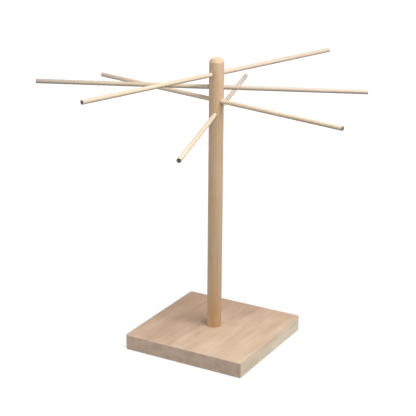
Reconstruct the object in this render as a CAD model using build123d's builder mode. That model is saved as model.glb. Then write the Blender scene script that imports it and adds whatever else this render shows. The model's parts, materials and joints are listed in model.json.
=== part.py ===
"""A wooden stand for drying fresh pasta: a square board, a round post and four rods.

Lengths are in millimetres and +Z is up. The origin is the centre of the board's underside, and
the board's sides run along X and Y. Each rod is one straight stick, pushed right through the post
at its own height and heading, so it makes two of the eight arms. The post stands in a blind hole
in the board, and a wood screw from below pulls it home.
"""

import os
from math import cos, radians, sin
from typing import NamedTuple

from build123d import *

# Board
board_width = 180.0  # both ways, as it is square
board_thickness = 22.0
board_corner_round = 3.0
board_top_edge_round = 1.4
board_foot_edge_round = 0.8

# Post
post_diameter = 20.0
post_rise = 381.0  # from the board's top to the post's top
post_bevel_width = 3.6
post_bevel_height = 4.6
post_bevel_round = 2.0
post_foot_bevel = 0.8
post_hole_depth = 12.0
post_hole_clearance = 0.1

# Rods
rod_diameter = 6.0
rod_length = 440.0
rod_end_round = 0.6
rod_hole_clearance = 0.05
top_rod_drop = 20.9  # from the post's top down to the top rod's middle line
rod_pitch = 17.8  # from one rod's middle line down to the next one's

# How far each rod's middle is pushed past the post's axis, along the rod's heading
top_rod_push = -1.2
second_rod_push = -21.3
third_rod_push = -8.3
bottom_rod_push = 1.2

# Wood screw, driven up through the board into the post's foot
screw_length = 40.0
screw_head_diameter = 8.8
screw_head_rim = 0.4
screw_head_sink = 0.5  # how far its face lies inside the board's underside
screw_head_clearance = 0.05
screw_shank_diameter = 3.3
screw_shank_length = 14.0  # from the head's face to the first turn of the thread
screw_core_diameter = 3.0
screw_tip_length = 5.0
screw_tip_diameter = 0.5
screw_hole_clearance = 0.15
screw_pilot_spare = 3.0  # how much deeper the post's pilot hole is than the screw

# The screw's thread, a ridge that winds round the core
thread_diameter = 4.5
thread_pitch = 2.2
thread_root_width = 0.9
thread_crest_width = 0.2
thread_seat = 0.2  # how far the ridge is rooted in the core

# The cross in the screw's head
cross_span = 5.0
cross_width = 1.2
cross_depth = 2.2
cross_taper = 12.0  # degrees

# How far a cut runs past the face that it opens
overrun = 1.0


class Rod(NamedTuple):
    """One rod's name and the way it lies in the post."""

    name: str
    heading: float  # degrees, anticlockwise from +X
    rise: float  # degrees out of level, towards its heading
    push: float  # how far its middle lies past the post's axis, towards its heading


# From the top down
rods = [
    Rod("top_rod", heading=72.1, rise=0.6, push=top_rod_push),
    Rod("second_rod", heading=24.3, rise=-0.3, push=second_rod_push),
    Rod("third_rod", heading=-14.8, rise=0.7, push=third_rod_push),
    Rod("bottom_rod", heading=107.6, rise=0.4, push=bottom_rod_push),
]

# Heights above the board's underside
post_foot_height = board_thickness - post_hole_depth
post_top_height = board_thickness + post_rise
top_rod_height = post_top_height - top_rod_drop
screw_rim_height = screw_head_sink + screw_head_rim
screw_tip_height = screw_head_sink + screw_length
screw_tip_base_height = screw_tip_height - screw_tip_length
thread_height = screw_head_sink + screw_shank_length

# Radii
post_radius = post_diameter / 2
rod_radius = rod_diameter / 2
screw_head_radius = screw_head_diameter / 2
screw_shank_radius = screw_shank_diameter / 2
screw_core_radius = screw_core_diameter / 2
screw_tip_radius = screw_tip_diameter / 2
thread_radius = thread_diameter / 2
countersink_radius = screw_head_radius + screw_head_clearance
screw_hole_radius = thread_radius + screw_hole_clearance


def plane_across(level, rod):
    """The plane across a rod where its middle line meets the post's axis."""
    along = (
        cos(radians(rod.rise)) * cos(radians(rod.heading)),
        cos(radians(rod.rise)) * sin(radians(rod.heading)),
        sin(radians(rod.rise)),
    )
    return Plane(origin=(0, 0, top_rod_height - level * rod_pitch), z_dir=along)


os.makedirs("parts", exist_ok=True)

# Board, with the post's blind hole in its top and the countersunk screw hole in its underside
with BuildPart() as board:
    with BuildSketch():
        RectangleRounded(board_width, board_width, board_corner_round)
    extrude(amount=board_thickness)
    fillet(board.faces().sort_by(Axis.Z)[-1].edges(), radius=board_top_edge_round)
    fillet(board.faces().sort_by(Axis.Z)[0].edges(), radius=board_foot_edge_round)
    with Locations((0, 0, board_thickness)):
        Hole(radius=post_radius + post_hole_clearance, depth=post_hole_depth)
    with BuildSketch(Plane.XZ):
        with BuildLine():
            cone_height = countersink_radius - screw_hole_radius
            Polyline(
                (0, -overrun),
                (countersink_radius, -overrun),
                (countersink_radius, screw_rim_height),
                (screw_hole_radius, screw_rim_height + cone_height),
                (screw_hole_radius, post_foot_height + overrun),
                (0, post_foot_height + overrun),
                close=True,
            )
        make_face()
    revolve(axis=Axis.Z, mode=Mode.SUBTRACT)
board.part.label = "board"
export_step(board.part, "parts/board.step")

# Post, with a rounded bevel at its top, a cross hole for each rod and a pilot hole in its foot
with BuildPart() as post:
    with BuildSketch(Plane.XZ) as post_outline:
        with BuildLine():
            Polyline(
                (0, post_foot_height),
                (post_radius - post_foot_bevel, post_foot_height),
                (post_radius, post_foot_height + post_foot_bevel),
                (post_radius, post_top_height - post_bevel_height),
                (post_radius - post_bevel_width, post_top_height),
                (0, post_top_height),
                close=True,
            )
        make_face()
        upper_corners = post_outline.vertices().sort_by(Axis.Y)[-3:]
        fillet(upper_corners.sort_by(Axis.X)[-2:], radius=post_bevel_round)
    revolve(axis=Axis.Z)
    for level, rod in enumerate(rods):
        with BuildSketch(plane_across(level, rod)):
            Circle(rod_radius + rod_hole_clearance)
        extrude(amount=post_diameter, both=True, mode=Mode.SUBTRACT)
    with Locations((0, 0, post_foot_height)):
        Hole(
            radius=screw_core_radius,
            depth=screw_tip_height + screw_pilot_spare - post_foot_height,
        )
post.part.label = "post"
export_step(post.part, "parts/post.step")

# Screw: head, plain shank, core and point turned in one outline, then the cross and the thread
with BuildPart() as foot_screw:
    with BuildSketch(Plane.XZ):
        with BuildLine():
            cone_height = screw_head_radius - screw_shank_radius
            Polyline(
                (0, screw_head_sink),
                (screw_head_radius, screw_head_sink),
                (screw_head_radius, screw_rim_height),
                (screw_shank_radius, screw_rim_height + cone_height),
                (screw_shank_radius, thread_height - thread_pitch),
                (screw_core_radius, thread_height),
                (screw_core_radius, screw_tip_base_height),
                (screw_tip_radius, screw_tip_height),
                (0, screw_tip_height),
                close=True,
            )
        make_face()
    revolve(axis=Axis.Z)
    with BuildSketch(Plane.XY.offset(screw_head_sink)):
        Rectangle(cross_span, cross_width)
        Rectangle(cross_width, cross_span)
    extrude(amount=cross_depth, taper=cross_taper, mode=Mode.SUBTRACT)
    with BuildLine():
        thread_path = Helix(
            pitch=thread_pitch,
            height=screw_tip_base_height - thread_height,
            radius=screw_core_radius,
            center=(0, 0, thread_height),
        )
    with BuildSketch(Plane(origin=thread_path @ 0, x_dir=(1, 0, 0), z_dir=thread_path % 0)):
        with BuildLine():
            Polyline(
                (-thread_seat, -thread_root_width / 2),
                (thread_radius - screw_core_radius, -thread_crest_width / 2),
                (thread_radius - screw_core_radius, thread_crest_width / 2),
                (-thread_seat, thread_root_width / 2),
                close=True,
            )
        make_face()
    sweep(path=thread_path, is_frenet=True)
foot_screw.part.label = "foot_screw"
export_step(foot_screw.part, "parts/foot_screw.step")

# Rods, each lying in its own cross hole, with both ends eased
for level, rod in enumerate(rods):
    with BuildPart() as stick:
        with BuildSketch(plane_across(level, rod).offset(rod.push - rod_length / 2)):
            Circle(rod_radius)
        extrude(amount=rod_length)
        fillet(stick.edges().filter_by(GeomType.CIRCLE), radius=rod_end_round)
    stick.part.label = rod.name
    export_step(stick.part, f"parts/{rod.name}.step")
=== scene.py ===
"""The look of a wooden stand for drying fresh pasta.

A square beech board carries a round post, and four thin rods are pushed through the post. The
board, the post and the foot screw keep their measured solids and are finished here. The rods are
made again with Geometry Nodes, because real dowels are a little uneven and have sawn, eased ends.
Lengths are in metres, +Z is up, and the board's sides run along X and Y.
"""

import json
import logging
from abc import ABC, abstractmethod
from dataclasses import dataclass
from enum import Enum
from math import cos, pi, radians, sin
from typing import Any

import bpy
from mathutils import Matrix, Vector


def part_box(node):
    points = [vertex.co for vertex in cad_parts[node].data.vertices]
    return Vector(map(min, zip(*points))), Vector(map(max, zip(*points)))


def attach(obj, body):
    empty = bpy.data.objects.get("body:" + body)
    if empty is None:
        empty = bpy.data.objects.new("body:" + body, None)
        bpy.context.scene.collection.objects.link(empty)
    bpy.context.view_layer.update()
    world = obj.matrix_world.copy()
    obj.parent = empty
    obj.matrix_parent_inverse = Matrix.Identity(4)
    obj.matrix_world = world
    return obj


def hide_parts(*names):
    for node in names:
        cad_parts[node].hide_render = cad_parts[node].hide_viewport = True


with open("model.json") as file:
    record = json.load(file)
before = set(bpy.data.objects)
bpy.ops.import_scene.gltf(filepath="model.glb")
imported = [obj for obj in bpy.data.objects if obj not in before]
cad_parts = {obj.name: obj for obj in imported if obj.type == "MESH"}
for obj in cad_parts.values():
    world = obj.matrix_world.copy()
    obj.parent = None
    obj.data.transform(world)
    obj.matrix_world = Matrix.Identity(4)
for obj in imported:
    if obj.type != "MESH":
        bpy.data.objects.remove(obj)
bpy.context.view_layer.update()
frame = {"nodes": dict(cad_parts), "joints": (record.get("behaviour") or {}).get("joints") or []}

Pair = tuple[float, float]
Triple = tuple[float, float, float]
Colour = tuple[float, float, float, float]
Output = bpy.types.NodeSocket
Outputs = bpy.types.bpy_prop_collection

WHITE: Colour = (1.0, 1.0, 1.0, 1.0)
DOWN: Triple = (0.0, 0.0, -1.0)
NOISE_MIDDLE = 0.5

log = logging.getLogger("pasta_rack")


def tone(red: int, green: int, blue: int) -> Colour:
    """Turn a colour in display steps of 0 to 255 into the linear colour that shaders take.

    The numbers in it are those of the standard display curve.

    Args:
        red: The red step.
        green: The green step.
        blue: The blue step.

    Returns:
        Linear red, green, blue and an alpha of 1.
    """
    linear = []
    for step in (red, green, blue):
        shown = step / 255
        linear.append(shown / 12.92 if shown <= 0.04045 else ((shown + 0.055) / 1.055) ** 2.4)
    return (*linear, 1.0)


def lifted(colour: Colour, share: float) -> Colour:
    """Make a linear colour lighter, or darker where the share is below 1."""
    return (colour[0] * share, colour[1] * share, colour[2] * share, colour[3])


class Wiring:
    """Adds nodes to one node tree and joins them up.

    Each input takes a plain value or another node's output.
    """

    def __init__(self, tree: bpy.types.NodeTree) -> None:
        """Keep the tree that the nodes go into."""
        self.tree = tree

    def add(self, kind: str, inputs: dict | None = None, **settings: Any) -> bpy.types.Node:
        """Add one node.

        Args:
            kind: The name of the node's type.
            inputs: What goes into each input, by the input's name or number.
            settings: The node's own settings, such as its operation.

        Returns:
            The new node.
        """
        node = self.tree.nodes.new(kind)
        for name, value in settings.items():
            setattr(node, name, value)
        for key, value in (inputs or {}).items():
            if isinstance(value, Output):
                self.tree.links.new(value, node.inputs[key])
            else:
                node.inputs[key].default_value = value
        return node

    def group(self, tree: bpy.types.NodeTree, inputs: dict) -> Outputs:
        """Place a shader group, fill in its inputs and hand out its outputs."""
        return self.add("ShaderNodeGroup", inputs, node_tree=tree).outputs

    def math(self, operation: str, *values: Any, clamp: bool = False) -> Output:
        """Work out one number from others.

        Args:
            operation: The Math node's operation.
            values: Its numbers, in order.
            clamp: Whether the result is kept between 0 and 1.

        Returns:
            The output that carries the number.
        """
        inputs = dict(enumerate(values))
        return self.add("ShaderNodeMath", inputs, operation=operation, use_clamp=clamp).outputs[0]

    def plus(self, first: Any, second: Any) -> Output:
        """Add two numbers."""
        return self.math("ADD", first, second)

    def minus(self, first: Any, second: Any) -> Output:
        """Take the second number from the first."""
        return self.math("SUBTRACT", first, second)

    def times(self, first: Any, second: Any) -> Output:
        """Multiply two numbers."""
        return self.math("MULTIPLY", first, second)

    def total(self, start: Any, *shares: tuple[Output, float]) -> Output:
        """Add shares of several numbers to a start.

        Args:
            start: The number to start from.
            shares: Each number, and how many times it is added.

        Returns:
            The output that carries the total.
        """
        total = start
        for value, share in shares:
            total = self.math("MULTIPLY_ADD", value, share, total)
        return total

    def vector(self, operation: str, *values: Any) -> Output:
        """Work out a vector, or a length or dot product, from vectors.

        Args:
            operation: The Vector Math node's operation.
            values: Its inputs, in order.

        Returns:
            The output that carries the result.
        """
        node = self.add("ShaderNodeVectorMath", dict(enumerate(values)), operation=operation)
        return node.outputs["Value" if operation in ("LENGTH", "DOT_PRODUCT") else "Vector"]

    def parts(self, vector: Output) -> list[Output]:
        """Split a vector into its three numbers."""
        return list(self.add("ShaderNodeSeparateXYZ", {0: vector}).outputs)

    def joined(self, x: Any, y: Any, z: Any) -> Output:
        """Make a vector of three numbers."""
        return self.add("ShaderNodeCombineXYZ", {0: x, 1: y, 2: z}).outputs[0]

    def threefold(self, value: Any) -> Output:
        """Make a vector that holds one number three times."""
        return self.joined(value, value, value)

    def stretched(self, place: Output, scales: Triple, shift: Output) -> Output:
        """Stretch a place along its three axes and then shift it."""
        return self.vector("ADD", self.vector("MULTIPLY", place, scales), shift)

    def mapped(self, vector: Output, kind: str = "POINT", **inputs: Any) -> Output:
        """Turn, shift or scale a point, or a direction where the kind is VECTOR."""
        return self.add("ShaderNodeMapping", {"Vector": vector, **inputs}, vector_type=kind).outputs[0]

    def rise(self, value: Any, span: Pair, levels: Pair = (0.0, 1.0)) -> Output:
        """Go smoothly from one level to another as a number goes through a span.

        Args:
            value: The number to follow.
            span: Where the change starts and ends.
            levels: The level before the span and the level after it.

        Returns:
            The output that carries the level.
        """
        inputs = dict(enumerate((value, *span, *levels)))
        return self.add("ShaderNodeMapRange", inputs, interpolation_type="SMOOTHSTEP").outputs[0]

    def fall(self, value: Any, span: Pair) -> Output:
        """Go smoothly from 1 to 0 as a number goes through a span."""
        return self.rise(value, span, (1.0, 0.0))

    def noise(self, place: Output, scale: float = 1.0, detail: float = 2.0, output: str = "Fac") -> Output:
        """Add soft noise from 0 to 1.

        Args:
            place: The place that it changes with.
            scale: How many lumps there are to the unit of that place.
            detail: How many times finer lumps lie on the broad ones.
            output: Fac for one number, or Color for three that change apart.

        Returns:
            The output that carries the noise.
        """
        inputs = {"Vector": place, "Scale": scale, "Detail": detail}
        return self.add("ShaderNodeTexNoise", inputs).outputs[output]

    def cells(self, place: Output, scale: float = 1.0) -> Outputs:
        """Add scattered points, with the distance to the nearest and a colour of its own."""
        return self.add("ShaderNodeTexVoronoi", {"Vector": place, "Scale": scale}).outputs

    def mixed(self, share: Any, first: Any, second: Any, kind: str = "MIX") -> Output:
        """Mix two colours.

        Args:
            share: How much of the second there is, from 0 to 1.
            first: The colour at a share of 0.
            second: The colour at a share of 1.
            kind: How the second is laid on the first.

        Returns:
            The output that carries the mix.
        """
        inputs = {0: share, 6: first, 7: second}
        return self.add("ShaderNodeMix", inputs, data_type="RGBA", blend_type=kind).outputs[2]

    def seen(self) -> Output:
        """Tell what the camera sees, straight, in metal or through glass, from what only lights.

        Returns:
            The output that is 1 where the camera sees it, and 0 elsewhere.
        """
        path = self.add("ShaderNodeLightPath").outputs
        straight_or_metal = self.math("MAXIMUM", path["Is Camera Ray"], path["Is Glossy Ray"])
        return self.math("MAXIMUM", straight_or_metal, path["Is Transmission Ray"])


class Socket(Enum):
    """The kinds of input and output that the node groups here have."""

    NUMBER = "NodeSocketFloat"
    WHOLE = "NodeSocketInt"
    VECTOR = "NodeSocketVector"
    MATERIAL = "NodeSocketMaterial"
    GEOMETRY = "NodeSocketGeometry"


class Group(Wiring):
    """A node group with named inputs and outputs, and the nodes inside it."""

    def __init__(self, name: str, kind: str, takes: dict[str, Socket], gives: dict[str, Socket]) -> None:
        """Start the group.

        Args:
            name: The group's name.
            kind: The name of the tree's type.
            takes: The inputs, in order.
            gives: The outputs, in order.
        """
        super().__init__(bpy.data.node_groups.new(name, kind))
        for way, sockets in (("INPUT", takes), ("OUTPUT", gives)):
            for label, socket in sockets.items():
                self.tree.interface.new_socket(name=label, in_out=way, socket_type=socket.value)
        self.given = self.add("NodeGroupInput").outputs
        self.results = self.add("NodeGroupOutput").inputs

    def give(self, name: str, value: Output) -> None:
        """Hand a value out of the group."""
        self.tree.links.new(value, self.results[name])


class Surface(Wiring):
    """A new material and the nodes inside it."""

    def __init__(self, name: str) -> None:
        """Start the material with no nodes.

        Args:
            name: The material's name.
        """
        self.material = bpy.data.materials.new(name)
        self.material.use_nodes = True
        self.material.node_tree.nodes.clear()
        super().__init__(self.material.node_tree)

    def complete(self, looks: dict, height: Output, relief: float, strength: float) -> None:
        """End the nodes in one solid surface.

        Args:
            looks: The shader's inputs, apart from its normal.
            height: The fine relief, where 1 is high and 0 is low.
            relief: How high a height of 1 stands.
            strength: How plainly the relief shows.
        """
        bump = self.add("ShaderNodeBump", {"Strength": strength, "Distance": relief, "Height": height})
        shader = self.add("ShaderNodeBsdfPrincipled", {**looks, "Normal": bump.outputs[0]})
        self.add("ShaderNodeOutputMaterial", {"Surface": shader.outputs[0]})


@dataclass(frozen=True)
class BeechFigure:
    """Beech as a solid: growth rings round a pith, rays, pores and slow changes of tone.

    It takes a place that has Z along the grain and X away from the pith. A scale is in lumps to the
    metre along that X, Y and Z, and for the rays it is outwards, round the pith and along the grain.
    """

    wander_stretch: Triple = (1.0, 1.0, 0.22)
    wander_scale: float = 16.0
    year_pace: float = 0.31
    year_swing: float = 3.2
    late_sharpness: float = 2.6
    late_stop: Pair = (0.9, 1.0)
    strength_layer: float = 3.0
    strength_pace: float = 0.73
    strength_span: Pair = (0.25, 0.7)
    strength_levels: Pair = (0.35, 1.0)
    streak_scale: Triple = (150.0, 150.0, 13.0)
    cloud_scale: Triple = (24.0, 24.0, 12.0)
    ray_scale: Triple = (210.0, 1500.0, 290.0)
    ray_swelling: float = 0.2
    ray_span: Pair = (0.04, 0.16)
    pore_scale: Triple = (3600.0, 3600.0, 420.0)
    pore_span: Pair = (0.16, 0.34)
    fibre_scale: Triple = (1900.0, 1900.0, 90.0)
    end_span: Pair = (0.55, 0.9)
    quarter_span: Pair = (0.6, 0.98)

    def build(self) -> bpy.types.NodeTree:
        """Build the shader group.

        Returns:
            The group, whose outputs run from 0 to 1.
        """
        group = Group(
            "Beech Figure",
            "ShaderNodeTree",
            takes={
                "Place": Socket.VECTOR,
                "Facing": Socket.VECTOR,
                "Pith Distance": Socket.NUMBER,
                "Ring Width": Socket.NUMBER,
                "Wander": Socket.NUMBER,
                "Seed": Socket.NUMBER,
            },
            gives=dict.fromkeys(
                ("Late Wood", "Streaks", "Clouds", "Rays", "Pores", "Fibres", "End Grain", "Quarter"),
                Socket.NUMBER,
            ),
        )
        place = group.given["Place"]
        seed = group.given["Seed"]
        pith_distance = group.given["Pith Distance"]
        shift = group.threefold(seed)

        # The rings wander slowly along the grain
        slow = group.stretched(place, self.wander_stretch, shift)
        lumps = group.noise(slow, self.wander_scale, output="Color")
        lean = group.vector("SUBTRACT", lumps, (NOISE_MIDDLE, NOISE_MIDDLE, NOISE_MIDDLE))
        drift = group.vector("MULTIPLY", lean, group.threefold(group.given["Wander"]))
        x, y, z = group.parts(group.vector("ADD", place, drift))
        outward = group.plus(x, pith_distance)
        radius = group.vector("LENGTH", group.joined(outward, y, 0.0))
        around = group.times(group.math("ARCTAN2", y, outward), pith_distance)

        # Years of slow and fast growth, and a late wood that darkens outwards and then stops
        count = group.math("DIVIDE", radius, group.given["Ring Width"])
        years = group.noise(group.joined(group.times(count, self.year_pace), seed, 0.0), detail=3.0)
        uneven = group.total(count, (years, self.year_swing))
        phase = group.math("FRACT", uneven)
        darkening = group.math("POWER", phase, self.late_sharpness)
        late = group.times(darkening, group.fall(phase, self.late_stop))
        year = group.joined(group.math("FLOOR", uneven), seed, self.strength_layer)
        strength = group.noise(year, self.strength_pace, detail=0.0)
        stronger = group.rise(strength, self.strength_span, self.strength_levels)
        group.give("Late Wood", group.times(late, stronger))

        # Tone that changes slowly, much faster across the grain than along it
        group.give("Streaks", group.noise(group.stretched(place, self.streak_scale, shift), detail=4.0))
        group.give("Clouds", group.noise(group.stretched(place, self.cloud_scale, shift), detail=3.0))

        # Rays are thin upright ribbons that run outwards from the pith
        ribbon = group.stretched(group.joined(radius, around, z), self.ray_scale, shift)
        cells = group.cells(ribbon)
        thickness = group.times(group.parts(cells["Color"])[0], self.ray_swelling)
        group.give("Rays", group.fall(group.minus(cells["Distance"], thickness), self.ray_span))

        # Pores are open ends on end grain and short fine lines on the other faces
        pipes = group.cells(group.stretched(place, self.pore_scale, shift))
        group.give("Pores", group.fall(pipes["Distance"], self.pore_span))
        group.give("Fibres", group.noise(group.stretched(place, self.fibre_scale, shift), detail=3.0))

        # How squarely a face cuts the grain, and how squarely it cuts the rings
        facing = group.given["Facing"]
        ends = group.math("ABSOLUTE", group.parts(facing)[2])
        group.give("End Grain", group.rise(ends, self.end_span))
        ring_side = group.vector("NORMALIZE", group.joined(group.times(y, -1.0), outward, 0.0))
        quarter = group.math("ABSOLUTE", group.vector("DOT_PRODUCT", facing, ring_side))
        group.give("Quarter", group.rise(quarter, self.quarter_span))
        return group.tree


@dataclass(frozen=True)
class WornEdge:
    """The mask of a block's or a round bar's edges, broken up as hand sanding leaves them."""

    patch_scale: float = 130.0
    patch_span: Pair = (0.3, 0.65)
    patch_levels: Pair = (0.35, 1.0)

    def build(self) -> bpy.types.NodeTree:
        """Build the shader group.

        Returns:
            The group, whose Edge is 1 on an edge and 0 away from it.
        """
        group = Group(
            "Worn Edge",
            "ShaderNodeTree",
            takes={
                "Place": Socket.VECTOR,
                "Half Size": Socket.VECTOR,
                "Width": Socket.NUMBER,
                "Round": Socket.NUMBER,
                "Seed": Socket.NUMBER,
            },
            gives={"Edge": Socket.NUMBER},
        )
        place = group.given["Place"]
        rounded = group.given["Round"]

        # A round bar has one side, at a distance from its middle line, where a block has X and Y
        x, y, z = group.parts(place)
        reach = group.vector("LENGTH", group.joined(x, y, 0.0))
        flat = group.minus(1.0, rounded)
        across = group.plus(group.times(x, flat), group.times(reach, rounded))
        sides = group.vector("ABSOLUTE", group.joined(across, group.times(y, flat), z))
        inside = group.vector("SUBTRACT", group.given["Half Size"], sides)
        depth = group.vector("DIVIDE", inside, group.threefold(group.given["Width"]))

        # An edge is near two sides at once
        near = [group.fall(part, (0.0, 1.0)) for part in group.parts(depth)]
        pairs = [group.times(near[side], near[(side + 1) % 3]) for side in range(3)]
        most = group.math("MAXIMUM", group.math("MAXIMUM", pairs[0], pairs[1]), pairs[2])
        shift = group.threefold(group.given["Seed"])
        patches = group.noise(group.vector("ADD", place, shift), self.patch_scale)
        broken = group.rise(patches, self.patch_span, self.patch_levels)
        group.give("Edge", group.times(most, broken))
        return group.tree


@dataclass(frozen=True)
class HandlingScuffs:
    """Faint handling marks: soft smudges and two sets of short fine scratches.

    Each set of scratches has a turn of its own, and a scale across and along its scratches.
    """

    smudge_scale: float = 38.0
    smudge_span: Pair = (0.48, 0.74)
    scratch_sets: tuple[tuple[Triple, Triple], ...] = (
        ((0.3, 0.2, 0.9), (1500.0, 1500.0, 60.0)),
        ((1.1, 0.7, 2.3), (1900.0, 1900.0, 60.0)),
    )
    scratch_spacing: float = 0.25
    scratch_span: Pair = (0.02, 0.08)

    def build(self) -> bpy.types.NodeTree:
        """Build the shader group.

        Returns:
            The group, whose Smudge and Scratch run from 0 to 1.
        """
        group = Group(
            "Handling Scuffs",
            "ShaderNodeTree",
            takes={"Place": Socket.VECTOR, "Seed": Socket.NUMBER},
            gives={"Smudge": Socket.NUMBER, "Scratch": Socket.NUMBER},
        )
        place = group.vector("ADD", group.given["Place"], group.threefold(group.given["Seed"]))
        group.give("Smudge", group.rise(group.noise(place, self.smudge_scale, detail=5.0), self.smudge_span))
        scratches = []
        for turn, scale in self.scratch_sets:
            cells = group.cells(group.mapped(place, Rotation=turn, Scale=scale), self.scratch_spacing)
            scratches.append(group.fall(cells["Distance"], self.scratch_span))
        group.give("Scratch", group.math("MAXIMUM", *scratches))
        return group.tree


class SharedEffects:
    """The shader groups that the finishes share, each built once."""

    def __init__(self) -> None:
        """Build the three groups."""
        self.figure = BeechFigure().build()
        self.worn_edge = WornEdge().build()
        self.scuffs = HandlingScuffs().build()


class Finish(ABC):
    """What a piece's surface is made of and how it was worked."""

    @abstractmethod
    def material(self, effects: SharedEffects) -> bpy.types.Material:
        """Make the material with the shared shader groups."""


class Cut(Enum):
    """How a piece lies in the tree, as the turn of its pith from straight below, in degrees."""

    FLAT_SAWN = 0.0
    RIFT_SAWN = 38.0
    QUARTER_SAWN = 90.0


@dataclass(frozen=True)
class BeechFinish(Finish):
    """Sanded beech with no varnish, as one piece is cut from the tree.

    The grain is the way that its fibres run, and below is where the pith lies before the cut turns
    it. Pale and deep are the tones of early and late wood, and flank is that of a face that cuts the
    rings squarely; on the board the flank is partly painted light, paler on its lit side faces. Heart
    is a redder tone that grows along its way: on the board the redder wood towards the heart of the
    tree together with painted shade of the post's broad shadow and of light falling off towards the
    back left, on the post a more orange foot, and on a rod a tone along its length. Grey is painted
    shade towards one end of a rod. A way is a direction from the piece's middle, and its span is
    where a change starts and ends on that way.
    """

    name: str
    grain: Triple
    below: Triple
    middle: Triple
    half_size: Triple
    cut: Cut
    pith_distance: float
    seed: float
    pale: Colour
    deep: Colour
    end: Colour
    ray: Colour
    flank: Colour
    heart: Colour
    heart_way: Triple
    heart_span: Pair
    heart_share: float
    heart_blur: float = 0.1
    grey: Colour = (0.78, 0.82, 0.92, 1.0)
    grey_way: Triple = (0.0, 0.0, 1.0)
    grey_span: Pair = (0.0, 1.0)
    grey_share: float = 0.0
    round_bar: bool = False
    ring_width: float = 0.0026
    wander: float = 0.012
    even_shade: float = 0.35
    ring_contrast: float = 0.24
    streak_contrast: float = 0.15
    streak_span: Pair = (0.25, 0.75)
    cloud_span: Pair = (0.3, 0.7)
    ray_contrast: float = 0.24
    fibre_contrast: float = 0.06
    fibre_span: Pair = (0.3, 0.7)
    pore_contrast: float = 0.14
    flank_share: float = 0.7
    end_rings: float = 0.7
    end_rays: float = 0.5
    end_pores: float = 2.2
    end_patches: float = 0.3
    patch_scale: float = 85.0
    patch_span: Pair = (0.35, 0.68)
    edge_width: float = 0.003
    edge_lift: float = 0.3
    smudge_share: float = 0.06
    roughness: float = 0.56
    streak_roughness: float = 0.14
    end_roughness: float = 0.16
    ray_shine: float = 0.14
    smudge_shine: float = 0.08
    specular: float = 0.32
    relief: float = 0.0001
    relief_strength: float = 0.5
    fibre_height: float = 0.5
    late_height: float = 0.25
    pore_depth: float = 0.5
    scratch_depth: float = 0.35

    def turned(self) -> tuple[Triple, Triple]:
        """Find the turn and the shift that put the grain along Z and the pith along -X.

        Returns:
            The turn as Euler angles, and the shift.
        """
        along = Vector(self.grain).normalized()
        down = Vector(self.below)
        down = (down - along * down.dot(along)).normalized()
        down = Matrix.Rotation(radians(self.cut.value), 3, along) @ down
        away = -down
        turn = Matrix((away, along.cross(away), along))
        shift = -(turn @ Vector(self.middle))
        return tuple(turn.to_euler("XYZ")), tuple(shift)

    def late_tint(self) -> Colour:
        """Find what late wood multiplies the colour of early wood by."""
        return tuple(dark / light for dark, light in zip(self.deep, self.pale))

    def side_colour(self, surface: Surface, figure: Outputs, centred: Output) -> Output:
        """Colour the faces that run along the grain.

        Args:
            surface: The material being made.
            figure: What the beech figure gives.
            centred: The place, from the piece's middle.

        Returns:
            The output that carries the colour.
        """
        swing = (-self.streak_contrast, self.streak_contrast)
        streaks = surface.rise(figure["Streaks"], self.streak_span, swing)
        clouds = surface.rise(figure["Clouds"], self.cloud_span, swing)
        rings = (figure["Late Wood"], self.ring_contrast)
        shade = surface.total(self.even_shade, (streaks, 1.0), (clouds, 1.0), rings)

        # Redder along the heart way, another tone where a face cuts the rings squarely, and late wood
        # darker in both; on the board the redder part is partly painted shade and the flank partly painted
        # light
        inward = surface.vector("DOT_PRODUCT", centred, self.heart_way)
        redder = surface.total(inward, (clouds, self.heart_blur))
        heart = surface.rise(redder, self.heart_span, (0.0, self.heart_share))
        colour = surface.mixed(heart, self.pale, self.heart)
        colour = surface.mixed(surface.times(figure["Quarter"], self.flank_share), colour, self.flank)
        colour = surface.mixed(shade, colour, self.late_tint(), "MULTIPLY")

        # Painted shade: a rod is darker and greyer towards one of its ends, where the light falls off
        outward = surface.vector("DOT_PRODUCT", centred, self.grey_way)
        painted_end_shade = surface.rise(outward, self.grey_span, (0.0, self.grey_share))
        colour = surface.mixed(painted_end_shade, colour, self.grey, "MULTIPLY")

        fibres = surface.rise(figure["Fibres"], self.fibre_span, (0.0, 2 * self.fibre_contrast))
        colour = surface.mixed(fibres, colour, self.ray)
        side = surface.minus(1.0, figure["End Grain"])
        rays = surface.times(surface.times(figure["Rays"], side), self.ray_contrast)
        return surface.mixed(rays, colour, self.ray)

    def end_colour(self, surface: Surface, figure: Outputs, centred: Output) -> Output:
        """Colour the end grain, which shows rings and rays plainly and drinks dirt in soft patches.

        Args:
            surface: The material being made.
            figure: What the beech figure gives.
            centred: The place, from the piece's middle.

        Returns:
            The output that carries the colour.
        """
        patches = surface.noise(centred, self.patch_scale, detail=3.0)
        dirt = surface.rise(patches, self.patch_span, (0.0, self.end_patches))
        rings = (figure["Late Wood"], self.end_rings)
        rays = (figure["Rays"], self.end_rays * self.end_rings)
        return surface.mixed(surface.total(dirt, rings, rays), self.end, self.late_tint(), "MULTIPLY")

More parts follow.
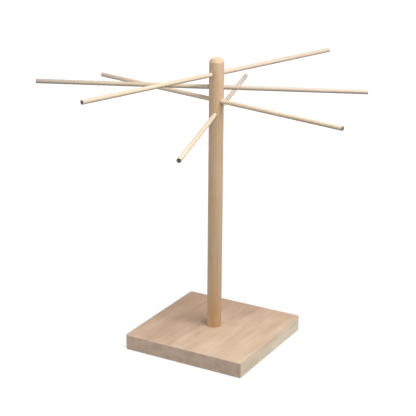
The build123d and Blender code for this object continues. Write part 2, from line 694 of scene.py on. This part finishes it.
    def material(self, effects: SharedEffects) -> bpy.types.Material:
        """Make the material.

        Args:
            effects: The shared shader groups.

        Returns:
            The finished material.
        """
        surface = Surface(self.name)
        spot = surface.add("ShaderNodeTexCoord").outputs
        turn, shift = self.turned()
        place = surface.mapped(spot["Object"], Rotation=turn, Location=shift)
        facing = surface.mapped(spot["Normal"], kind="VECTOR", Rotation=turn)
        centred = surface.mapped(spot["Object"], Location=tuple(-m for m in self.middle))
        figure = surface.group(
            effects.figure,
            {
                "Place": place,
                "Facing": facing,
                "Pith Distance": self.pith_distance,
                "Ring Width": self.ring_width,
                "Wander": self.wander,
                "Seed": self.seed,
            },
        )
        edge = surface.group(
            effects.worn_edge,
            {
                "Place": place if self.round_bar else centred,
                "Half Size": self.half_size,
                "Width": self.edge_width,
                "Round": 1.0 if self.round_bar else 0.0,
                "Seed": self.seed,
            },
        )["Edge"]
        scuffs = surface.group(effects.scuffs, {"Place": centred, "Seed": self.seed})

        sides = self.side_colour(surface, figure, centred)
        ends = self.end_colour(surface, figure, centred)
        colour = surface.mixed(figure["End Grain"], sides, ends)
        openness = surface.rise(figure["End Grain"], (0.0, 1.0), (1.0, self.end_pores))
        pores = surface.times(figure["Pores"], openness)
        colour = surface.mixed(surface.times(pores, self.pore_contrast), colour, self.ray)
        colour = surface.mixed(surface.times(edge, self.edge_lift), colour, self.pale)
        colour = surface.mixed(surface.times(scuffs["Smudge"], self.smudge_share), colour, self.deep)

        # Rays shine where a face cuts the rings squarely, and smudges shine a little everywhere
        roughness = surface.total(
            self.roughness,
            (figure["Streaks"], self.streak_roughness),
            (figure["End Grain"], self.end_roughness),
            (surface.times(figure["Rays"], figure["Quarter"]), -self.ray_shine),
            (scuffs["Smudge"], -self.smudge_shine),
        )
        height = surface.total(
            0.0,
            (figure["Fibres"], self.fibre_height),
            (figure["Late Wood"], self.late_height),
            (figure["Pores"], -self.pore_depth),
            (scuffs["Scratch"], -self.scratch_depth),
        )
        looks = {"Base Color": colour, "Roughness": roughness, "Specular IOR Level": self.specular}
        surface.complete(looks, height, self.relief, self.relief_strength)
        surface.material.diffuse_color = self.pale
        return surface.material


@dataclass(frozen=True)
class ZincFinish(Finish):
    """Turned steel with a thin, slightly golden zinc coat, on a screw that stands head down."""

    head_radius: float
    length: float
    sink: float
    name: str = "screw zinc"
    bright: Colour = tone(196, 192, 180)
    golden: Colour = tone(190, 172, 128)
    dark: Colour = tone(96, 92, 84)
    tint_scale: float = 420.0
    tint_span: Pair = (0.35, 0.68)
    turning_pitch: float = 0.00022
    edge_width: float = 0.0006
    edge_seed: float = 5.0
    scuff_seed: float = 9.0
    smudge_share: float = 0.4
    roughness: float = 0.26
    tint_roughness: float = 0.16
    smudge_roughness: float = 0.12
    relief: float = 0.00002
    relief_strength: float = 0.35
    turning_height: float = 0.2
    scratch_depth: float = 0.6

    def material(self, effects: SharedEffects) -> bpy.types.Material:
        """Make the material.

        Args:
            effects: The shared shader groups.

        Returns:
            The finished material.
        """
        surface = Surface(self.name)
        spot = surface.add("ShaderNodeTexCoord").outputs
        place = surface.mapped(spot["Object"], Location=(0.0, 0.0, -(self.sink + self.length / 2)))
        x, y, z = surface.parts(place)
        reach = surface.vector("LENGTH", surface.joined(x, y, 0.0))
        turns = surface.math("SINE", surface.times(reach, 2 * pi / self.turning_pitch))
        tint = surface.rise(surface.noise(place, self.tint_scale, detail=3.0), self.tint_span)
        edge = surface.group(
            effects.worn_edge,
            {
                "Place": place,
                "Half Size": (self.head_radius, 1.0, self.length / 2),
                "Width": self.edge_width,
                "Round": 1.0,
                "Seed": self.edge_seed,
            },
        )["Edge"]
        scuffs = surface.group(effects.scuffs, {"Place": place, "Seed": self.scuff_seed})

        colour = surface.mixed(tint, self.bright, self.golden)
        colour = surface.mixed(surface.times(scuffs["Smudge"], self.smudge_share), colour, self.dark)
        colour = surface.mixed(edge, colour, self.bright)
        smudges = (scuffs["Smudge"], self.smudge_roughness)
        roughness = surface.total(self.roughness, (tint, self.tint_roughness), smudges)
        scratches = (scuffs["Scratch"], -self.scratch_depth)
        height = surface.total(0.0, (turns, self.turning_height), scratches)
        looks = {"Base Color": colour, "Roughness": roughness, "Metallic": 1.0}
        surface.complete(looks, height, self.relief, self.relief_strength)
        surface.material.diffuse_color = self.bright
        return surface.material


class DressedSolid(ABC):
    """A piece that keeps its measured solid and gets only its finish here."""

    node: str

    @abstractmethod
    def finish(self) -> Finish:
        """Describe the piece's finish."""

    def make(self, effects: SharedEffects) -> list[str]:
        """Dress the solid in every material slot that it has.

        Args:
            effects: The shared shader groups.

        Returns:
            The names of the pieces dressed.
        """
        made = self.finish().material(effects)
        for place in frame["nodes"][self.node].material_slots:
            place.material = made
        return [self.node]


@dataclass
class Board(DressedSolid):
    """The square foot board, with its grain along Y."""

    node: str = "board"
    width: float = 0.180
    thickness: float = 0.022

    def finish(self) -> BeechFinish:
        """Describe how the board is cut and coloured.

        Returns:
            The board's finish.
        """
        return BeechFinish(
            name="board beech",
            grain=(0.06, 1.0, 0.0),
            below=DOWN,
            middle=(0.0, 0.0, self.thickness / 2),
            half_size=(self.width / 2, self.width / 2, self.thickness / 2),
            cut=Cut.FLAT_SAWN,
            pith_distance=0.16,
            seed=3.1,
            pale=tone(209, 187, 162),
            deep=tone(184, 157, 132),
            end=tone(214, 191, 171),
            ray=tone(150, 116, 92),
            # Painted light: the side faces are far paler than the top, partly the quarter-sawn face's own
            # paleness and partly light on the lit right side
            flank=tone(254, 242, 217),
            flank_share=1.0,
            # Painted shade: the heart tone, redder and darker towards the back left, is partly the wood's
            # own tone and partly the post's broad shadow and light falling off there
            heart=tone(184, 158, 135),
            heart_way=(-0.75, 0.66, 0.0),
            heart_span=(-0.07, 0.07),
            heart_share=1.0,
            streak_contrast=0.22,
            fibre_contrast=0.08,
            end_patches=0.52,
        )


@dataclass
class Post(DressedSolid):
    """The round post, with its grain upright."""

    node: str = "post"
    diameter: float = 0.020
    foot_height: float = 0.010
    top_height: float = 0.403

    def finish(self) -> BeechFinish:
        """Describe how the post is cut and coloured.

        Returns:
            The post's finish.
        """
        length = self.top_height - self.foot_height
        return BeechFinish(
            name="post beech",
            grain=(0.0, 0.0, 1.0),
            below=(-0.2, 0.98, 0.0),
            middle=(0.0, 0.0, self.foot_height + length / 2),
            half_size=(self.diameter / 2, 1.0, length / 2),
            round_bar=True,
            cut=Cut.RIFT_SAWN,
            pith_distance=0.09,
            ring_width=0.0021,
            seed=11.7,
            pale=tone(205, 179, 148),
            deep=tone(180, 150, 116),
            end=tone(213, 187, 161),
            ray=tone(132, 98, 70),
            flank=tone(200, 177, 146),
            # More orange and darker towards the foot, near the board
            heart=tone(190, 147, 102),
            heart_way=DOWN,
            heart_span=(0.05, 0.2),
            heart_share=0.7,
            edge_width=0.0045,
        )


@dataclass
class FootScrew(DressedSolid):
    """The countersunk wood screw that holds the post from below."""

    node: str = "foot_screw"
    head_diameter: float = 0.0088
    length: float = 0.040
    sink: float = 0.0005

    def finish(self) -> ZincFinish:
        """Describe the screw's coat."""
        return ZincFinish(self.head_diameter / 2, self.length, self.sink)


@dataclass(frozen=True)
class RodWood:
    """What sets one rod's wood apart from the others'.

    Its spans are distances along the rod from its middle. The grey is painted shade, a rod darker and
    greyer towards one end where the light falls off, and a grey share below zero puts it on the rod's
    tail and not its head.
    """

    body: str
    cut: Cut
    paleness_with_painted_light: float
    grey_share: float
    grey_span: Pair = (0.14, 0.23)
    heart: Colour = tone(206, 181, 150)
    heart_span: Pair = (-0.1, 0.16)
    heart_share: float = 0.2


@dataclass
class Rods:
    """The four rods. Each replaces its measured solid and slides with it.

    The rings and sides are those of each rod's mesh. The steps are what each rod adds to the one
    above it.
    """

    # Each rod's paleness is partly its own tone and partly painted light: the third rod, which the key light
    # catches along its length, is painted paler
    woods: tuple[RodWood, ...] = (
        RodWood("top_rod", Cut.FLAT_SAWN, 0.88, 0.45, grey_span=(-0.1, 0.23)),
        RodWood(
            "second_rod",
            Cut.RIFT_SAWN,
            0.82,
            -1.0,
            grey_span=(0.13, 0.23),
            heart=tone(209, 199, 190),
            heart_span=(-0.02, 0.06),
            heart_share=0.4,
        ),
        RodWood("third_rod", Cut.QUARTER_SAWN, 0.98, -1.0),
        RodWood("bottom_rod", Cut.RIFT_SAWN, 0.89, 1.0),
    )
    slot: str = "rod_beech"
    length: float = 0.440
    diameter: float = 0.006
    end_rounding: float = 0.0003
    unevenness: float = 0.00003
    lump_scale: Triple = (260.0, 260.0, 30.0)
    saw_slope: float = 0.03
    saw_reach: float = 0.003
    flat_limit: float = 0.985
    rings: int = 170
    sides: int = 36
    first_shape_seed: float = 4.0
    first_wood_seed: float = 21.3
    wood_seed_step: float = 7.9
    first_pith_distance: float = 0.06
    pith_distance_step: float = 0.02

    def finish(self, number: int, along: Vector, middle: Vector) -> BeechFinish:
        """Describe how one rod is cut and coloured.

        Args:
            number: The rod's number from the top, starting at 0.
            along: The direction that the rod lies in.
            middle: The rod's middle.

        Returns:
            The rod's own finish.
        """
        wood = self.woods[number]
        return BeechFinish(
            name=f"{wood.body} beech",
            grain=tuple(along),
            below=DOWN,
            middle=tuple(middle),
            half_size=(self.diameter / 2, 1.0, self.length / 2),
            round_bar=True,
            cut=wood.cut,
            pith_distance=self.first_pith_distance + self.pith_distance_step * number,
            ring_width=0.0019,
            seed=self.first_wood_seed + self.wood_seed_step * number,
            pale=lifted(tone(215, 199, 177), wood.paleness_with_painted_light),
            deep=lifted(tone(199, 180, 152), wood.paleness_with_painted_light),
            end=tone(114, 104, 92),
            ray=tone(164, 138, 110),
            flank=lifted(tone(214, 198, 176), wood.paleness_with_painted_light),
            flank_share=0.3,
            heart=lifted(wood.heart, wood.paleness_with_painted_light),
            heart_way=tuple(along),
            heart_span=wood.heart_span,
            heart_share=wood.heart_share,
            grey_way=tuple(along if wood.grey_share > 0.0 else -along),
            grey_span=wood.grey_span,
            grey_share=abs(wood.grey_share),
            ring_contrast=0.2,
            ray_contrast=0.1,
            fibre_contrast=0.03,
            pore_contrast=0.06,
            end_patches=0.25,
            edge_lift=0.0,
            relief=0.00003,
        )

    def tree(self) -> bpy.types.NodeTree:
        """Build the Geometry Nodes tree of one dowel.

        The dowel is a circle swept along a line whose points crowd at both ends, so that the eased
        ends are round. A slow noise makes it as uneven as a real dowel, and its ends are sawn a
        little out of square.

        Returns:
            The tree.
        """
        group = Group(
            "Dowel",
            "GeometryNodeTree",
            takes={
                "Length": Socket.NUMBER,
                "Diameter": Socket.NUMBER,
                "End Rounding": Socket.NUMBER,
                "Unevenness": Socket.NUMBER,
                "Saw Slope": Socket.NUMBER,
                "Rings": Socket.WHOLE,
                "Sides": Socket.WHOLE,
                "Seed": Socket.NUMBER,
                "Along": Socket.VECTOR,
                "Middle": Socket.VECTOR,
                "Material": Socket.MATERIAL,
            },
            gives={"Dowel": Socket.GEOMETRY},
        )
        size = group.given
        half = group.math("DIVIDE", size["Length"], 2.0)

        # The place is read afresh by each node that uses it, so Z goes from -1 to 1 on the plain
        # line and along the whole length after that
        place = group.add("GeometryNodeInputPosition").outputs[0]
        x, y, z = group.parts(place)
        line = group.add("GeometryNodeCurvePrimitiveLine", {"Start": DOWN, "End": (0.0, 0.0, 1.0)})
        points = group.add("GeometryNodeResampleCurve", {"Curve": line.outputs[0], "Count": size["Rings"]})
        crowded = group.joined(0.0, 0.0, group.times(group.math("SINE", group.times(z, pi / 2)), half))
        spaced = group.add("GeometryNodeSetPosition", {"Geometry": points.outputs[0], "Position": crowded})

        # The radius drops along a quarter circle over the last stretch at each end
        to_end = group.minus(half, group.math("ABSOLUTE", z))
        part = group.math("DIVIDE", to_end, size["End Rounding"])
        share = group.math("SUBTRACT", 1.0, part, clamp=True)
        kept = group.math("SQRT", group.math("SUBTRACT", 1.0, group.times(share, share), clamp=True))
        lost = group.times(group.minus(1.0, kept), size["End Rounding"])
        radius = group.minus(group.math("DIVIDE", size["Diameter"], 2.0), lost)
        circle = group.add("GeometryNodeCurvePrimitiveCircle", {"Resolution": size["Sides"], "Radius": 1.0})
        tube = group.add(
            "GeometryNodeCurveToMesh",
            {
                "Curve": spaced.outputs[0],
                "Profile Curve": circle.outputs[0],
                "Scale": radius,
                "Fill Caps": True,
            },
        )

        # Uneven all round, and sloped at the saw cuts
        lumps = group.stretched(place, self.lump_scale, group.threefold(size["Seed"]))
        swell = group.minus(group.noise(lumps, detail=3.0), NOISE_MIDDLE)
        push = group.times(group.times(swell, 2.0), size["Unevenness"])
        outward = group.vector("NORMALIZE", group.joined(x, y, 0.0))
        bulge = group.vector("MULTIPLY", outward, group.threefold(push))
        near_end = group.fall(to_end, (0.0, self.saw_reach))
        slope = group.times(group.times(x, size["Saw Slope"]), near_end)
        moved = group.vector("ADD", bulge, group.joined(0.0, 0.0, slope))
        uneven = group.add("GeometryNodeSetPosition", {"Geometry": tube.outputs[0], "Offset": moved})

        # The sides are smooth and the sawn ends are flat
        normal = group.add("GeometryNodeInputNormal").outputs[0]
        flatness = group.math("ABSOLUTE", group.parts(normal)[2])
        is_side = group.math("LESS_THAN", flatness, self.flat_limit)
        smooth = group.add(
            "GeometryNodeSetShadeSmooth", {"Geometry": uneven.outputs[0], "Shade Smooth": is_side}
        )
        turned = group.add("FunctionNodeAlignRotationToVector", {"Vector": size["Along"]}, axis="Z")
        laid = group.add(
            "GeometryNodeTransform",
            {
                "Geometry": smooth.outputs[0],
                "Translation": size["Middle"],
                "Rotation": turned.outputs[0],
            },
        )
        solid = group.add("GeometryNodeRealizeInstances", {"Geometry": laid.outputs[0]})
        dressing = {"Geometry": solid.outputs[0], "Material": size["Material"]}
        dressed = group.add("GeometryNodeSetMaterial", dressing)
        group.give("Dowel", dressed.outputs[0])
        return group.tree

    def make(self, effects: SharedEffects) -> list[str]:
        """Make the four rods and put each on its body.

        Args:
            effects: The shared shader groups.

        Returns:
            The names of the pieces made.
        """
        tree = self.tree()
        made = []
        for number, wood in enumerate(self.woods):
            body = wood.body
            joint = next(one for one in frame["joints"] if one["child"] == body)
            along = Vector(joint["axis"])
            low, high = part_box(body)
            middle = (low + high) / 2
            values = {
                "Length": self.length,
                "Diameter": self.diameter,
                "End Rounding": self.end_rounding,
                "Unevenness": self.unevenness,
                "Saw Slope": self.saw_slope,
                "Rings": self.rings,
                "Sides": self.sides,
                "Seed": self.first_shape_seed + number,
                "Along": tuple(along),
                "Middle": tuple(middle),
                "Material": self.finish(number, along, middle).material(effects),
            }
            rod = run_tree(f"{body}_dowel", tree, values)
            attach(rod, body)
            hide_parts(body)
            made.append(rod.name)
        return made


def placed(name: str, data: bpy.types.ID) -> bpy.types.Object:
    """Put a mesh, a light or a camera into the scene.

    Args:
        name: The new object's name.
        data: What the object holds.

    Returns:
        The object, at the origin.
    """
    made = bpy.data.objects.new(name, data)
    bpy.context.scene.collection.objects.link(made)
    return made


def run_tree(name: str, tree: bpy.types.NodeTree, values: dict[str, Any]) -> bpy.types.Object:
    """Run a Geometry Nodes tree once and keep its result as a plain mesh.

    Args:
        name: The piece's name.
        tree: The tree.
        values: Its inputs, by their names.

    Returns:
        The piece, at the origin and with no modifier.
    """
    piece = placed(name, bpy.data.meshes.new(name))
    modifier = piece.modifiers.new("shape", "NODES")
    modifier.node_group = tree
    for item in tree.interface.items_tree:
        if item.in_out == "INPUT":
            modifier[item.identifier] = values[item.name]
    evaluated = piece.evaluated_get(bpy.context.evaluated_depsgraph_get())
    mesh = bpy.data.meshes.new_from_object(evaluated)
    piece.modifiers.remove(modifier)
    piece.data = mesh
    mesh.name = name
    return piece


def bearing(azimuth: float, elevation: float) -> Vector:
    """Find the way from the rack to something beside it.

    Args:
        azimuth: How far round it is, in degrees, 0 being straight in front of the board.
        elevation: How high it is, in degrees.

    Returns:
        The direction, one metre long.
    """
    turn = radians(azimuth)
    tilt = radians(elevation)
    return Vector((sin(turn) * cos(tilt), -cos(turn) * cos(tilt), sin(tilt)))


@dataclass(frozen=True)
class Softbox:
    """A flat soft light. A level of 1 shows a white face that it shines on squarely as white."""

    name: str
    azimuth: float
    elevation: float
    level: float
    distance: float = 1.4
    width: float = 0.8
    height: float = 0.8
    shines: bool = True


@dataclass
class Studio:
    """A white floor and surround, soft lights and the photograph's camera."""

    azimuth: float = 29.28
    elevation: float = 18.97
    distance: float = 1.67906
    target: Triple = (-0.00864, -0.00485, 0.19559)
    roll: float = 0.46
    lens: float = 106.68
    sensor_width: float = 36.0
    nearest: float = 0.05
    farthest: float = 50.0
    floor_size: float = 8.0
    floor_grey: float = 0.17
    floor_glow: float = 0.82
    glow_span: Pair = (0.2, 1.1)
    surround: float = 0.24
    light_aim: Triple = (0.0, 0.0, 0.2)
    lights: tuple[Softbox, ...] = (
        Softbox("key", 74.0, 57.0, 1.3, distance=1.1, width=0.75, height=0.6),
        Softbox("front fill", -10.0, 25.0, 0.1),
        Softbox("left fill", -50.0, 10.0, 0.375),
        Softbox("right fill", 95.0, 15.0, 0.19),
        Softbox("back fill", 160.0, 35.0, 0.06, width=0.9, height=0.9),
        Softbox("rear fill", 216.0, 12.0, 0.17, height=0.7, shines=False),
    )

    def floor(self) -> str:
        """Lay the floor, white to the camera but a shade darker near the rack.

        Its own grey is dark, so that it throws little light back and still takes the shadow.

        Returns:
            The floor's name.
        """
        half = self.floor_size / 2
        corners = [(-half, -half, 0.0), (half, -half, 0.0), (half, half, 0.0), (-half, half, 0.0)]
        mesh = bpy.data.meshes.new("floor")
        mesh.from_pydata(corners, [], [(0, 1, 2, 3)])
        floor = placed("floor", mesh)
        surface = Surface("pale floor")
        distance = surface.vector("LENGTH", surface.add("ShaderNodeTexCoord").outputs["Object"])
        level = surface.rise(distance, self.glow_span, (self.floor_glow, 1.0))
        strength = surface.times(surface.seen(), level)
        grey = (self.floor_grey, self.floor_grey, self.floor_grey, 1.0)
        matt = surface.add("ShaderNodeBsdfDiffuse", {"Color": grey})
        glow = surface.add("ShaderNodeEmission", {"Color": WHITE, "Strength": strength})
        both = surface.add("ShaderNodeAddShader", {0: matt.outputs[0], 1: glow.outputs[0]})
        surface.add("ShaderNodeOutputMaterial", {"Surface": both.outputs[0]})
        mesh.materials.append(surface.material)
        return floor.name

    def surroundings(self) -> None:
        """Set the world: white to the camera, a plain even light to the rack."""
        world = bpy.data.worlds.new("studio")
        bpy.context.scene.world = world
        world.use_nodes = True
        world.node_tree.nodes.clear()
        wires = Wiring(world.node_tree)
        even = wires.add("ShaderNodeBackground", {"Color": WHITE, "Strength": self.surround})
        white = wires.add("ShaderNodeBackground", {"Color": WHITE, "Strength": 1.0})
        chosen = wires.add("ShaderNodeMixShader", {0: wires.seen(), 1: even.outputs[0], 2: white.outputs[0]})
        wires.add("ShaderNodeOutputWorld", {"Surface": chosen.outputs[0]})

    def hang(self, light: Softbox) -> None:
        """Hang one soft light that points at the rack.

        Args:
            light: The light.
        """
        data = bpy.data.lights.new(light.name, "AREA")
        data.shape = "RECTANGLE"
        data.size = light.width
        data.size_y = light.height
        data.energy = light.level * (pi * light.distance) ** 2
        lamp = placed(light.name, data)
        lamp.visible_glossy = light.shines
        back = bearing(light.azimuth, light.elevation)
        lamp.location = Vector(self.light_aim) + back * light.distance
        lamp.rotation_euler = (-back).to_track_quat("-Z", "Y").to_euler()

    def camera(self) -> None:
        """Place the camera as the photograph was taken."""
        data = bpy.data.cameras.new("camera")
        data.lens = self.lens
        data.sensor_width = self.sensor_width
        data.clip_start = self.nearest
        data.clip_end = self.farthest
        camera = placed("camera", data)
        back = bearing(self.azimuth, self.elevation)
        aim = (-back).to_track_quat("-Z", "Y").to_matrix() @ Matrix.Rotation(radians(self.roll), 3, "Z")
        camera.location = Vector(self.target) + back * self.distance
        camera.rotation_euler = aim.to_euler()
        bpy.context.scene.camera = camera

    def make(self) -> list[str]:
        """Set up the whole studio.

        Returns:
            The names of the stage pieces.
        """
        bpy.context.scene.view_settings.view_transform = "Standard"
        floor = self.floor()
        self.surroundings()
        for light in self.lights:
            self.hang(light)
        self.camera()
        return [floor]


def main() -> None:
    """Dress the rack, make its rods and set up the studio."""
    logging.basicConfig(level=logging.INFO, format="%(message)s")
    effects = SharedEffects()
    for assembly in (Board(), Post(), FootScrew(), Rods()):
        for piece in assembly.make(effects):
            log.info("%s: %s", type(assembly).__name__, piece)
    for piece in Studio().make():
        log.info("Studio: %s", piece)


if __name__ == "__main__":
    main()
